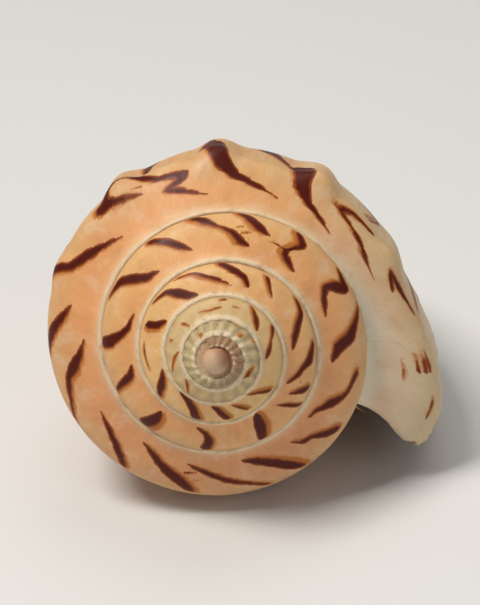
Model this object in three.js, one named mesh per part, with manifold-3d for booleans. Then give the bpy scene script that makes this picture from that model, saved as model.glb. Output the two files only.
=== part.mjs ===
// A volute shell lying on its aperture, modelled as one hollow solid, in millimetres with +Z up.
// The shell is worked out about its own coiling axis, where turns are counted from the outer lip:
// 0 at the lip, -1 one whorl earlier and so on, and depth is measured from the apex along the axis.
import * as THREE from "three";
import { mergeVertices } from "three/addons/utils/BufferGeometryUtils.js";
import Module from "manifold-3d";

const wasm = await Module();
wasm.setup();

// Driving dimensions
const LENGTH = 112; // apex to the front end of the canal
const SUTURE_RADIUS = 24.35; // of the suture where it meets the outer lip
const SUTURE_DEPTH = 20.9; // of the same point below the apex
const GROWTH = 0.3969; // log growth for each turn, near the lip
const GROWTH_SLOWING = -0.0065; // the early whorls open a little faster
const COIL_START = -5.4; // turn under the dome at which the coil begins
const WALL = 2.1; // shell wall of the last whorl
const CALLUS = 0.35; // glaze of the inner lip over the whorl before
const LIP_BEARING = 28.5; // degrees clockwise from the right, seen from the apex

// Outer outline of a whorl between one suture and the next, as shares of the step from suture to
// suture: outwards, and down. It climbs onto the pale ridge, dips, then runs out to the shoulder.
const RAMP = [
  [0, 0],
  [0.035, -0.055],
  [0.085, -0.05],
  [0.15, 0.03],
  [0.3, 0.13],
  [0.55, 0.27],
  [0.8, 0.42],
  [0.96, 0.57],
  [1.04, 0.76],
  [1, 1],
];

// The rest of the last whorl at the lip: distance from the axis and depth, down to the canal.
const FLANK = [
  [36.5, 38.5],
  [35.5, 46.5],
  [33.2, 57],
  [29.9, 67.5],
  [25.7, 78],
  [21.0, 88],
  [16.6, 97],
  [13.2, 104],
  [11.0, 109],
  [9.6, LENGTH],
];

// How far the last whorl steps out at each turn, against the steady growth before it.
const WIDENING = [
  [-1.2, 1],
  [-0.95, 1.08],
  [-0.7, 1.08],
  [-0.5, 1],
  [-0.38, 0.87],
  [-0.25, 0.73],
  [-0.1, 0.74],
  [0, 0.82],
];

const FLARE = 5.6; // how far the outer lip spreads
const FLARE_TURNS = [-0.13, -0.02]; // stretch over which the spread comes in
const RIM_LENGTH = 1.5; // stretch over which the lip's edge rounds off
const RIM_ROUNDING = 0.36; // share of the wall rounded off on each side of the edge
const NOTCH_DEGREES = 1.5; // the lip's step back beside the suture
const CORNER_DEGREES = 3; // how far the upper corner of the lip stands forward
const LIP_PLANE = [82, 11.9, 31]; // bearing it faces, its tilt in degrees, its reach from the apex
const FRONT_SWEEP = [80, 112, 30]; // from one depth to another the lip draws back by these degrees

const KNOB_HEIGHT = 2.1; // low knobs on the shoulder of the last half whorl
const KNOB_STEP = 0.093; // turns from knob to knob
const KNOB_TURN = -0.333; // where one of them stands
const KNOB_START = -0.62;

const DOME_RADIUS = 2.45; // the smooth first whorl at the apex
const DOME_CENTRE_DEPTH = 2.4;

const CAVITY_START = -1.35; // turn at which the hollow ends, inside
const CANAL_TURNS = [-0.08, -0.035]; // stretch over which the canal's floor opens

// The pillar that the whorls turn about: radius and depth.
const PILLAR = [
  [2.6, 45],
  [3.6, 55],
  [4.9, 65],
  [5.7, 75],
  [6.0, 85],
  [5.6, 94],
  [4.7, 101],
  [3.7, 107],
  [2.2, 110.5],
];
const FOLD_HEIGHT = 1.25; // raised folds winding round the pillar
const FOLD_SPACING = 6;
const FOLDS_IN_A_TURN = 5; // how many spacings a fold drops in one turn
const FOLD_DEPTHS = [64, 70, 90, 97]; // the folds rise over the first pair and fade over the last

// Resting pose, on the lip, the end of the canal and the swell of the last whorl
const DOWN_BEARING = 87.28; // the bearing that lies undermost
const REST_PITCH = 17.59; // degrees by which the canal end dips

// Facets
const SHORTEST_EDGE = 0.01;
const COLUMNS = 40; // in a turn
const RIM_COLUMNS = [0.003]; // extra ones just behind the lip, in turns
const RAMP_ROWS = 9;
const FLANK_ROWS = 10;
const BODY_ROWS = RAMP_ROWS + FLANK_ROWS;
const CAVITY_COLUMNS = 22; // as far as the canal's opening
const CAVITY_LIP_COLUMNS = [-0.08, -0.065, -0.05, -0.035, -0.02, -0.01, -0.003, 0, 0.09];
const CAVITY_ROWS = 13;
const PILLAR_COLUMNS = 18;
const PILLAR_ROWS = 36;

const TAU = 2 * Math.PI;
const { clamp, degToRad, lerp, radToDeg, smoothstep } = THREE.MathUtils;

const scaleAt = (turn) => Math.exp(GROWTH * turn + GROWTH_SLOWING * turn * turn);
const sutureAt = (turn) => [SUTURE_RADIUS * scaleAt(turn), SUTURE_DEPTH * scaleAt(turn)];
const wallAt = (turn) => WALL * Math.sqrt(scaleAt(turn));

const curveThrough = (points) => new THREE.SplineCurve(points.map(([x, y]) => new THREE.Vector2(x, y)));
const ramp = curveThrough(RAMP);
const flank = curveThrough([sutureAt(1), ...FLANK]);
const pillar = curveThrough(PILLAR);

function knobAt(turn, share) {
  const wave = Math.max(0, Math.cos((TAU * (turn - KNOB_TURN)) / KNOB_STEP)) ** 1.5;
  const along = smoothstep(turn, KNOB_START, KNOB_START + 0.25) * (1 - smoothstep(turn, -0.22, -0.1));
  const across = Math.exp(-(((share - 0.97) / 0.16) ** 2));
  return KNOB_HEIGHT * wave * along * across;
}

const flareAt = (turn) => FLARE * smoothstep(turn, ...FLARE_TURNS);

// A number read off a list of [turn, value] pairs, smoothly.
function readOff(list, turn) {
  const next = list.findIndex(([at]) => at > turn);
  if (next < 1) return next === 0 ? list[0][1] : list.at(-1)[1];
  const [[from, low], [to, high]] = [list[next - 1], list[next]];
  return lerp(low, high, smoothstep(turn, from, to));
}

// Point of the outline, [distance from the axis, depth], at a row counted down from the suture.
function outlinePoint(turn, row) {
  const [r0, d0] = sutureAt(turn);
  const [r1, d1] = sutureAt(turn + 1);
  const step = (r1 - r0) * readOff(WIDENING, turn);
  if (row <= RAMP_ROWS) {
    const { x, y } = ramp.getPoint(row / RAMP_ROWS);
    const spread = knobAt(turn, x) + flareAt(turn) * smoothstep(x, 0.15, 0.9);
    return [r0 + step * x + spread, d0 + (d1 - d0) * y];
  }
  const along = (row - RAMP_ROWS) / FLANK_ROWS;
  const { x, y } = flank.getPoint(along);
  const narrowing = lerp((r0 + step) / r1, 1, smoothstep(along, 0.1, 0.8));
  const knob = knobAt(turn, 1 + 0.5 * along);
  return [x * scaleAt(turn) * narrowing + knob + flareAt(turn) * (1 - 0.6 * along), y * scaleAt(turn)];
}

// The outline pushed inwards, square to itself.
function insetPoint(turn, row, inset) {
  const [ra, da] = outlinePoint(turn, Math.max(row - 0.5, 0));
  const [rb, db] = outlinePoint(turn, Math.min(row + 0.5, BODY_ROWS));
  const [r, d] = outlinePoint(turn, row);
  const length = Math.hypot(rb - ra, db - da);
  return [r - ((db - da) / length) * inset, d + ((rb - ra) / length) * inset];
}

// How much of the wall is rounded away on either side, at a turn close behind the lip.
function rimInset(turn, radius) {
  const share = clamp((-turn * TAU * radius) / RIM_LENGTH, 0, 1);
  return WALL * RIM_ROUNDING * (1 - Math.sqrt(1 - (1 - share) ** 2));
}

// Degrees that the lip's edge stands forward of its bearing at a row. It draws back in a notch
// beside the suture, stands forward in a corner at the shoulder, keeps to a plane below it, and draws
// back at the canal.
function lipForward(row) {
  const [from, to, sweep] = FRONT_SWEEP;
  const corner = CORNER_DEGREES * smoothstep(row, 3.5, 6.5) * (1 - smoothstep(row, 9, 13));
  const notch = NOTCH_DEGREES * Math.sin(Math.PI * clamp(row / 6, 0, 1)) ** 2;
  const [radius, depth] = outlinePoint(0, row);
  const [bearing, tilt, reach] = LIP_PLANE;
  const below = reach - Math.min(depth, 0.5 * (from + to)) * Math.sin(degToRad(tilt));
  const across = Math.max(radius, 22) * Math.cos(degToRad(tilt));
  const planar = bearing - radToDeg(Math.acos(Math.min(below / across, 1))) - LIP_BEARING;
  const drawn = notch + sweep * smoothstep(depth, from, to);
  return corner + planar * smoothstep(row, RAMP_ROWS - 2, RAMP_ROWS + 1) - drawn;
}
const sweepOfRow = Array.from({ length: BODY_ROWS + 1 }, (_, row) => -lipForward(row) / 360);

// How far back a point of the outline is carried by the shape of the lip, in turns.
function sweepAt(turn, row) {
  const [low, high] = [Math.floor(row), Math.ceil(row)];
  return lerp(sweepOfRow[low], sweepOfRow[high], row - low) * smoothstep(turn, -0.3, 0);
}

// Into the shell's own frame: apex at the origin, depth towards -Z.
function place([radius, depth], turn) {
  const angle = -(degToRad(LIP_BEARING) + TAU * turn);
  return [radius * Math.cos(angle), radius * Math.sin(angle), -depth];
}

function solidFrom(coordinates, corners) {
  const vertProperties = new Float32Array(coordinates);
  const triVerts = new Uint32Array(corners);
  return new wasm.Manifold(new wasm.Mesh({ numProp: 3, vertProperties, triVerts, tolerance: SHORTEST_EDGE }));
}

// A closed tube: rings of the same number of points, capped with a point at either end.
function tubeFrom(rings, firstCap, lastCap) {
  const count = rings[0].length;
  const points = [...rings.flat(), firstCap, lastCap];
  const faces = [];
  for (let i = 0; i + 1 < rings.length; i++) {
    for (let j = 0; j < count; j++) {
      const [a, b] = [i * count + j, i * count + ((j + 1) % count)];
      faces.push([a, b, b + count], [a, b + count, a + count]);
    }
  }
  const last = (rings.length - 1) * count;
  for (let j = 0; j < count; j++) {
    const next = (j + 1) % count;
    faces.push([next, j, points.length - 2], [last + j, last + next, points.length - 1]);
  }
  return solidFrom(points.flat(), faces.flat());
}

const turnOf = [];
for (let whorl = -6; whorl < 0; whorl++) {
  for (let i = 0; i < COLUMNS; i++) turnOf.push(whorl + i / COLUMNS);
  RIM_COLUMNS.toReversed().forEach((back) => turnOf.push(whorl + 1 - back));
}
turnOf.push(0);
const PER_TURN = COLUMNS + RIM_COLUMNS.length;
const FIRST = turnOf.findIndex((turn) => turn >= COIL_START);
const LAST = turnOf.length - 1;

// The outside of every whorl, closed across the aperture. Rows run from suture to suture, and the
// last row of a whorl is the first row of the whorl after it, so the spiral is one closed skin.
function whorls() {
  const points = [];
  const faces = [];
  const numberOf = new Map();
  const addPoint = (point) => points.push(point) - 1;
  const vertex = (column, row) => {
    if (row === RAMP_ROWS && column + PER_TURN <= LAST) return vertex(column + PER_TURN, 0);
    const key = `${column} ${row}`;
    if (!numberOf.has(key)) {
      const turn = turnOf[column];
      const inset = row > 1 ? rimInset(turn, outlinePoint(turn, row)[0]) : 0;
      numberOf.set(key, addPoint(place(insetPoint(turn, row, inset), turn - sweepAt(turn, row))));
    }
    return numberOf.get(key);
  };
  const quad = (a, b, c, d) => faces.push([a, c, b], [a, d, c]);

  for (let column = FIRST; column < LAST; column++) {
    const rows = column >= LAST - PER_TURN ? BODY_ROWS : RAMP_ROWS;
    for (let row = 0; row < rows; row++) {
      quad(vertex(column, row), vertex(column, row + 1), vertex(column + 1, row + 1), vertex(column + 1, row));
    }
  }

  // Hidden start of the coil, under the dome.
  const start = addPoint([0, 0, -sutureAt(COIL_START + 0.5)[1]]);
  for (let column = FIRST; column < FIRST + PER_TURN; column++) {
    faces.push([start, vertex(column + 1, 0), vertex(column, 0)]);
  }
  for (let row = 0; row < RAMP_ROWS; row++) {
    faces.push([start, vertex(FIRST, row), vertex(FIRST, row + 1)]);
  }

  // Underside, sloping in to the axis.
  const onAxis = new Map();
  for (let column = LAST - PER_TURN; column <= LAST; column++) {
    const drop = lerp(5, -1, smoothstep(turnOf[column], -0.45, -0.15));
    onAxis.set(column, addPoint([0, 0, -outlinePoint(turnOf[column], BODY_ROWS)[1] - drop]));
  }
  for (let column = LAST - PER_TURN; column < LAST; column++) {
    quad(vertex(column, BODY_ROWS), onAxis.get(column), onAxis.get(column + 1), vertex(column + 1, BODY_ROWS));
  }

  // Across the aperture, from the lip to the whorl before it.
  const rim = [];
  for (let row = 0; row <= BODY_ROWS; row++) rim.push(vertex(LAST, row));
  for (let column = LAST; column >= LAST - PER_TURN; column--) rim.push(onAxis.get(column));
  for (let row = BODY_ROWS; row > RAMP_ROWS; row--) rim.push(vertex(LAST - PER_TURN, row));
  const flat = rim.map((i) => new THREE.Vector2(Math.hypot(points[i][0], points[i][1]), points[i][2]));
  for (const [a, b, c] of THREE.ShapeUtils.triangulateShape(flat, [])) faces.push([rim[a], rim[b], rim[c]]);
  return solidFrom(points.flat(), faces.flat());
}

function pillarRadius(depth) {
  const along = clamp((depth - PILLAR[0][1]) / (PILLAR.at(-1)[1] - PILLAR[0][1]), 0, 1);
  return pillar.getPoint(along).x;
}

// Inner side of the hollow at a depth: the whorl before under its glaze, or the pillar.
function innerRadius(turn, depth) {
  const before = turn - 1;
  const bottom = outlinePoint(before, BODY_ROWS)[1];
  let [low, high] = [RAMP_ROWS, BODY_ROWS];
  for (let i = 0; i < 16; i++) {
    const middle = (low + high) / 2;
    if (outlinePoint(before, middle)[1] < depth) low = middle;
    else high = middle;
  }
  const whorl = outlinePoint(before, low)[0] * (1 - smoothstep(depth, bottom, bottom + 6));
  return Math.max(whorl, pillarRadius(depth)) + CALLUS;
}

// Closed section of the hollow at a turn.
function cavitySection(turn) {
  const wall = wallAt(turn);
  const bottom = outlinePoint(turn, BODY_ROWS)[1];
  const opening = smoothstep(turn, ...CANAL_TURNS);
  let lastRow = BODY_ROWS;
  const tooLow = (row) => {
    const [r, d] = insetPoint(turn, row, wall);
    return d > bottom - wall * (1 - opening) + 2 * opening || r - innerRadius(turn, d) < 1.2;
  };
  while (tooLow(lastRow)) lastRow -= 0.1;

  const outer = [];
  const sweeps = [];
  for (let i = 0; i <= CAVITY_ROWS; i++) {
    const row = lerp(3, lastRow, i / CAVITY_ROWS);
    const inset = wall - rimInset(turn, outlinePoint(turn, row)[0]);
    outer.push(insetPoint(turn, row, inset));
    sweeps.push(sweepAt(turn, row));
  }
  const [endRadius, endDepth] = outer.at(-1);
  outer.push([endRadius - 0.3, endDepth + 0.3 + 4 * opening]);
  sweeps.push(sweeps.at(-1));

  const [top, low] = [outer[0][1] + 0.6 * wall, outer.at(-1)[1] - 0.2 * wall * (1 - opening)];
  const inner = outer.map((_, i) => {
    const depth = lerp(top, low, i / CAVITY_ROWS);
    return [innerRadius(turn - sweeps[i], depth), depth];
  });
  const placed = (chain) => chain.map((point, i) => place(point, turn - sweeps[i]));
  return [...placed(inner), ...placed(outer).toReversed()];
}

function cavity() {
  const turns = Array.from({ length: CAVITY_COLUMNS }, (_, i) =>
    lerp(CAVITY_START, CAVITY_LIP_COLUMNS[0], i / CAVITY_COLUMNS),
  );
  const rings = [...turns, ...CAVITY_LIP_COLUMNS].map(cavitySection);
  const middle = (ring) => [0, 1, 2].map((k) => ring.reduce((sum, point) => sum + point[k], 0) / ring.length);
  return tubeFrom(rings, middle(rings[0]), middle(rings.at(-1)));
}

function pillarSolid() {
  const [firstDepth, lastDepth] = [PILLAR[0][1], PILLAR.at(-1)[1]];
  const rings = [];
  for (let i = 0; i <= PILLAR_ROWS; i++) {
    const depth = lerp(firstDepth, lastDepth, i / PILLAR_ROWS);
    const [rise, full, fade, end] = FOLD_DEPTHS;
    const strength = smoothstep(depth, rise, full) * (1 - smoothstep(depth, fade, end));
    const ring = [];
    for (let j = 0; j < PILLAR_COLUMNS; j++) {
      const turn = j / PILLAR_COLUMNS;
      const wave = Math.cos(TAU * (depth / FOLD_SPACING - FOLDS_IN_A_TURN * turn));
      ring.push(place([pillarRadius(depth) + FOLD_HEIGHT * Math.max(0, wave) * strength, depth], turn));
    }
    rings.push(ring);
  }
  return tubeFrom(rings, [0, 0, -firstDepth], [0, 0, -lastDepth - 0.8]);
}

function dome() {
  const ball = new THREE.SphereGeometry(DOME_RADIUS, 20, 12);
  ball.deleteAttribute("normal");
  ball.deleteAttribute("uv");
  ball.rotateX(Math.PI / 2).translate(0, 0, -DOME_CENTRE_DEPTH);
  const { attributes, index } = mergeVertices(ball, 1e-4);
  return solidFrom(attributes.position.array, index.array);
}

const solid = whorls().add(dome()).subtract(cavity()).add(pillarSolid());
const { vertProperties, triVerts } = solid.getMesh();
const geometry = new THREE.BufferGeometry();
geometry.setAttribute("position", new THREE.BufferAttribute(vertProperties, 3));
geometry.setIndex(new THREE.BufferAttribute(triVerts, 1));
geometry.rotateZ(degToRad(DOWN_BEARING - 90)).rotateX(degToRad(90 - REST_PITCH));
geometry.computeBoundingBox();
const { min, max } = geometry.boundingBox;
geometry.translate(-(min.x + max.x) / 2, -(min.y + max.y) / 2, -min.z);

const shell = new THREE.Mesh(geometry, new THREE.MeshStandardMaterial({ color: 0xe0a878, roughness: 0.35 }));
shell.name = "shell";
const group = new THREE.Group();
group.add(shell);
export default group;
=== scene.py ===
"""The looks of a volute shell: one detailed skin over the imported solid, seen from its spire.

Lengths are in millimetres and are scaled to metres when a mesh is made. The shell is worked out about
its own coiling axis, with the apex at the origin and depth towards -Z. Turns are counted from the outer
lip: 0 at the lip, -1 one whorl earlier. Rows run across a whorl, 0 at the suture, 9 at the shoulder and
19 at the front end.
"""
import math

import bpy
import numpy as np
from mathutils import Matrix, Vector, kdtree


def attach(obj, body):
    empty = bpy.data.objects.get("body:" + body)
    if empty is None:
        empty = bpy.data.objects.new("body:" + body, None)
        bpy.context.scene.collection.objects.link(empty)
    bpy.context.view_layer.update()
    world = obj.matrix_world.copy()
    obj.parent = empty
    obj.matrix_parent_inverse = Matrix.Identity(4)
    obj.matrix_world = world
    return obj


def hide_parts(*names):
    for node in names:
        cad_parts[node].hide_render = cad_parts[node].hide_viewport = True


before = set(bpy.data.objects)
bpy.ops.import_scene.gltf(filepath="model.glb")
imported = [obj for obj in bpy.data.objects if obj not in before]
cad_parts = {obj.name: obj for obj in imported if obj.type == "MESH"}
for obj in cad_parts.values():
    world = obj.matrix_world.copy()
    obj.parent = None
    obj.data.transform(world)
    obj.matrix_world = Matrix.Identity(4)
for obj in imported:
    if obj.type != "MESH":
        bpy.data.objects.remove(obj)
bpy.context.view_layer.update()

MM = 0.001
TAU = 2 * math.pi

# Form of the whorls, the same as the solid's: lengths in mm, and bearings and tilts in degrees
LENGTH = 112
SUTURE_RADIUS = 24.35  # of the suture at the lip
SUTURE_DEPTH = 20.9
GROWTH = 0.3969  # of the logarithm of the size, in a turn
GROWTH_SLOWING = -0.0065
COIL_START = -5.4
WALL = 2.1
CALLUS = 0.35  # glaze on the whorl before, inside the aperture
LIP_BEARING = 28.5
RAMP = [  # shares of the way out and of the drop, from a suture to the shoulder
    (0, 0), (0.035, -0.055), (0.085, -0.05), (0.15, 0.03), (0.3, 0.13),
    (0.55, 0.27), (0.8, 0.42), (0.96, 0.57), (1.04, 0.76), (1, 1),
]
FLANK = [  # radius and depth, from below the shoulder to the front end
    (36.5, 38.5), (35.5, 46.5), (33.2, 57), (29.9, 67.5), (25.7, 78),
    (21, 88), (16.6, 97), (13.2, 104), (11, 109), (9.6, LENGTH),
]
WIDENING = [  # turn, and the share of the even step out that the ramp takes there
    (-1.2, 1), (-0.95, 1.08), (-0.7, 1.08), (-0.5, 1), (-0.38, 0.87), (-0.25, 0.73), (-0.1, 0.74), (0, 0.82),
]
FLARE = 5.6  # how far the lip spreads, over these turns
FLARE_TURNS = (-0.13, -0.02)
RIM_LENGTH = 1.5  # over which the wall thins towards the lip's edge
RIM_ROUNDING = 0.36  # share of the wall that either side of the edge loses
NOTCH_DEGREES = 1.5  # the edge stands back beside the suture, and forward at the shoulder's corner
CORNER_DEGREES = 3
LIP_PLANE = (82, 11.9, 31)  # bearing, tilt and distance of the plane in which the rest of the edge lies
FRONT_SWEEP = (80, 112, 30)  # depths between which the edge sweeps back, and how many degrees
KNOB_HEIGHT = 2.1
KNOB_STEP = 0.093  # turns from a knob to the next
KNOB_TURN = -0.333  # where one of them stands
KNOB_START = -0.62  # they rise from here on, and fade out over the turns below
KNOB_FADE = (-0.22, -0.1)
DOME_CENTRE_DEPTH = 2.4
CAVITY_START = -1.35
CAVITY_ROW = 3  # where the hollow's outer side starts
LEAST_HOLLOW = 1.2
CANAL_TURNS = (-0.08, -0.035)
PILLAR = [  # radius and depth
    (2.6, 45), (3.6, 55), (4.9, 65), (5.7, 75), (6, 85), (5.6, 94), (4.7, 101), (3.7, 107), (2.2, 110.5),
]
FOLD_HEIGHT = 1.25  # of the raised folds that wind round the pillar
FOLD_SPACING = 6
FOLDS_IN_A_TURN = 5  # how many spacings a fold drops in one turn
FOLD_DEPTHS = (64, 70, 90, 97)  # the folds rise over the first pair and fade over the last
DOWN_BEARING = 87.28  # the side that rests on the floor, and how far the axis is pitched from level
REST_PITCH = 17.59
RAMP_ROWS = 9
FLANK_ROWS = 10
BODY_ROWS = RAMP_ROWS + FLANK_ROWS

# Finer form than the solid's, in the scene alone
DOME_RADIUS = 2.2
LIP_BAY = (  # row, and degrees by which the lip's edge stands farther forward there
    (3, 0), (4, -0.5), (4.5, -0.9), (5, -0.5), (5.5, 1.0), (6, 0.4), (7, -0.3), (9, -0.3), (10, 0),
)
LIP_DRAWN_IN = 0.5  # how far the last of the lip bends back in, over these turns
LIP_DRAWN_TURNS = (-0.035, -0.005)
MOUTH_TURN = -0.06  # before the hollow is cut, the mouth is closed towards its middle at this turn

# Fineness of the skin
COLUMNS = 250  # in a turn
LIP_COLUMNS = 44  # extra ones in the last stretch of each turn
LIP_STRETCH = 0.12
RIM_STEPS = (1.5, 1.1, 0.75, 0.45, 0.22, 0.08)  # mm behind the lip, measured at the radius below
RIM_RADIUS = 36
RAMP_STEPS = 28
RAMP_SPACING = ((0, 0), (0.36, 2.2), (0.82, 8), (1, RAMP_ROWS))  # share of the steps, row
FLANK_STEPS = 70
CAVITY_COLUMNS = 110
CAVITY_LIP_COLUMNS = 46  # in the stretch from this turn to the lip
CAVITY_LIP_START = -0.09
CAVITY_STEPS = 56
PILLAR_RINGS = 170
PILLAR_COLUMNS = 54
DOME_RINGS = 24
DOME_COLUMNS = 48
SHARP_DEGREES = 48  # edges sharper than this stay sharp
SAME_PLACE = 0.02  # mm, between a point of the finished mesh and the surface it came from


def smoothstep(value, low, high):
    share = np.clip((value - low) / (high - low), 0, 1)
    return share * share * (3 - 2 * share)


def lerp(start, end, share):
    return start + (end - start) * share


def spline(points, share):
    """A smooth curve through the points, each taking an equal part of the way."""
    points = np.asarray(points, float)
    last = len(points) - 1
    at = last * np.asarray(share, float)
    i = np.clip(np.floor(at).astype(int), 0, last)
    w = (at - i)[..., None]
    before, here = points[np.maximum(i - 1, 0)], points[i]
    after, next_after = points[np.minimum(i + 1, last)], points[np.minimum(i + 2, last)]
    slope, next_slope = (after - before) / 2, (next_after - here) / 2
    cubic = 2 * here - 2 * after + slope + next_slope
    square = -3 * here + 3 * after - 2 * slope - next_slope
    return cubic * w**3 + square * w**2 + slope * w + here


def read_off(pairs, turn):
    at, value = np.array(pairs, float).T
    i = np.clip(np.searchsorted(at, turn, side="right"), 1, len(at) - 1)
    return lerp(value[i - 1], value[i], smoothstep(turn, at[i - 1], at[i]))


def noise(x, y, seed):
    """Smooth random heights from -1 to 1 over a plane, one bump to each unit."""
    lattice = np.random.default_rng(seed).uniform(-1, 1, (64, 64))
    x, y = np.broadcast_arrays(np.asarray(x, float), np.asarray(y, float))
    i, j = np.floor(x).astype(int), np.floor(y).astype(int)
    u, v = smoothstep(x - i, 0, 1), smoothstep(y - j, 0, 1)
    corner = lambda a, b: lattice[(i + a) % 64, (j + b) % 64]
    return lerp(lerp(corner(0, 0), corner(1, 0), u), lerp(corner(0, 1), corner(1, 1), u), v)


def scale_at(turn):
    return np.exp(GROWTH * turn + GROWTH_SLOWING * turn * turn)


FLANK_CURVE = [(SUTURE_RADIUS * scale_at(1), SUTURE_DEPTH * scale_at(1)), *FLANK]


def knob_at(turn, share):
    wave = np.maximum(0, np.cos(TAU * (turn - KNOB_TURN) / KNOB_STEP)) ** 1.5
    along = smoothstep(turn, KNOB_START, KNOB_START + 0.25) * (1 - smoothstep(turn, *KNOB_FADE))
    return KNOB_HEIGHT * wave * along * np.exp(-(((share - 0.97) / 0.16) ** 2))


def outline(turn, row):
    """Distance from the axis and depth of the smooth outline at a turn and row."""
    turn, row = np.broadcast_arrays(np.asarray(turn, float), np.asarray(row, float))
    scale, next_scale = scale_at(turn), scale_at(turn + 1)
    step = SUTURE_RADIUS * (next_scale - scale) * read_off(WIDENING, turn)
    drop = SUTURE_DEPTH * (next_scale - scale)
    flare = FLARE * smoothstep(turn, *FLARE_TURNS) - LIP_DRAWN_IN * smoothstep(turn, *LIP_DRAWN_TURNS)

    x, y = np.moveaxis(spline(RAMP, np.clip(row / RAMP_ROWS, 0, 1)), -1, 0)
    ramp_radius = SUTURE_RADIUS * scale + step * x + knob_at(turn, x) + flare * smoothstep(x, 0.15, 0.9)
    ramp_depth = SUTURE_DEPTH * scale + drop * y

    along = np.clip((row - RAMP_ROWS) / FLANK_ROWS, 0, 1)
    x, y = np.moveaxis(spline(FLANK_CURVE, along), -1, 0)
    width = (SUTURE_RADIUS * scale + step) / (SUTURE_RADIUS * next_scale)
    narrowing = lerp(width, 1, smoothstep(along, 0.1, 0.8))
    flank_radius = x * scale * narrowing + knob_at(turn, 1 + 0.5 * along) + flare * (1 - 0.6 * along)

    on_ramp = row <= RAMP_ROWS
    return np.where(on_ramp, ramp_radius, flank_radius), np.where(on_ramp, ramp_depth, y * scale)


def inset_outline(turn, row, inset):
    """The outline pushed inwards, square to itself."""
    ra, da = outline(turn, np.maximum(row - 0.5, 0))
    rb, db = outline(turn, np.minimum(row + 0.5, BODY_ROWS))
    radius, depth = outline(turn, row)
    length = np.hypot(rb - ra, db - da)
    return radius - (db - da) / length * inset, depth + (rb - ra) / length * inset


def rim_inset(turn, radius):
    share = np.clip(-turn * TAU * radius / RIM_LENGTH, 0, 1)
    return WALL * RIM_ROUNDING * (1 - np.sqrt(1 - (1 - share) ** 2))


def lip_forward(row):
    """Degrees that the lip's edge stands forward of its bearing."""
    start, end, sweep = FRONT_SWEEP
    notch = NOTCH_DEGREES * np.sin(math.pi * np.clip(row / 6, 0, 1)) ** 2
    corner = CORNER_DEGREES * smoothstep(row, 3.5, 6.5) * (1 - smoothstep(row, 9, 13))
    radius, depth = outline(0.0, row)
    bearing, tilt, reach = LIP_PLANE
    below = reach - np.minimum(depth, 0.5 * (start + end)) * math.sin(math.radians(tilt))
    across = np.maximum(radius, 22) * math.cos(math.radians(tilt))
    planar = bearing - np.degrees(np.arccos(np.minimum(below / across, 1))) - LIP_BEARING
    drawn = notch + sweep * smoothstep(depth, start, end)
    return corner + planar * smoothstep(row, RAMP_ROWS - 2, RAMP_ROWS + 1) - drawn


def sweep_at(turn, row):
    whole = np.arange(BODY_ROWS + 1.0)
    forward = np.interp(row, whole, lip_forward(whole)) + np.interp(row, *np.transpose(LIP_BAY))
    return -forward / 360 * smoothstep(turn, -0.3, 0)


def place(radius, depth, turn):
    """Points in the shell's own frame."""
    angle = -(math.radians(LIP_BEARING) + TAU * turn)
    return np.stack([radius * np.cos(angle), radius * np.sin(angle), -depth], -1)


ARC_ROWS = np.linspace(0, BODY_ROWS, 400)
ARC_TURN = -0.6
ARC_LENGTHS = np.append(0, np.cumsum(np.hypot(*np.diff(outline(ARC_TURN, ARC_ROWS)))) / scale_at(ARC_TURN))
FAR = 3.0


def arc_at(row):
    """Length of the outline from the suture to a row, on a whorl of scale 1."""
    return np.interp(row, ARC_ROWS, ARC_LENGTHS)


def suture_gaps(turn, row):
    """Distances in mm out from the suture, and in from the next suture where there is one."""
    scale = scale_at(turn)
    inward = np.where(turn < -1, (arc_at(RAMP_ROWS) - arc_at(row)) * scale, FAR)
    return np.minimum(arc_at(row) * scale, FAR), np.minimum(inward, FAR)


def ridge_width(turn):
    return 0.78 + 0.55 * scale_at(turn)


# Fine relief of the outside, in mm
RIBLETS = 19  # in a turn, on the earliest whorls
RIBLET_TURNS = (-4.1, -3.2)  # they fade out over this stretch
RIBLET_HEIGHT = 0.2
CRINKLES = 31  # in a turn, on the ridges of the whorls after those
CRINKLE_TURNS = (-2.6, -1.6)
ROPE_HEIGHT = (0.34, -0.2)  # of the ridge beside the suture, and its change with the whorl's scale
GROOVE_DEPTH = 0.16
GROOVE_WIDTH = 0.35
WRINKLES = ((90, 0.02, 3), (41, 0.035, 5), (17, 0.06, 7))  # in a turn, height, seed
DENT_HEIGHT = 0.12
DENT_SIZE = 7
LAMELLAE = (-0.092, -0.071, -0.055, -0.041, -0.03, -0.02, -0.012, -0.006)  # turns of the old lip edges
LAMELLA_HEIGHT = 0.4
LAMELLA_LENGTH = 0.007  # turns in which one falls away
CHIPS = (  # broken out of the lip's edge: row, half width in rows, and depth next to the others
    (6.4, 0.35, 0.7), (8.1, 0.3, 0.9), (9.3, 0.35, 1.1), (10.4, 0.3, 0.8),
    (12.2, 0.5, 0.9), (14.5, 0.4, 0.6), (9.7, 1.8, 1.2),
)
CHIP_DEPTH = 0.6
CHIP_RADIUS = 34  # from the axis, where mm are turned into turns


def riblet_wave(turn, row):
    return 0.5 + 0.5 * np.cos(TAU * (RIBLETS * turn - 0.05 * row))


def rope(turn, row, outward):
    """The raised ridge beside the suture: beaded on the early whorls, then crinkled, then smooth."""
    share = np.clip(outward / ridge_width(turn), 0, 1)
    round_top = np.sqrt(np.maximum(0, 1 - (2 * share - 1) ** 2))
    early = 1 - smoothstep(turn, *RIBLET_TURNS)
    crinkled = (1 - early) * (1 - smoothstep(turn, *CRINKLE_TURNS))
    beads = early * (0.85 * riblet_wave(turn, row) - 0.45)
    crinkles = crinkled * 0.45 * noise(turn * CRINKLES, outward * 0.8, 31)
    height, change = ROPE_HEIGHT
    return (height + change * scale_at(turn)) * round_top * (1 + beads + crinkles)


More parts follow.
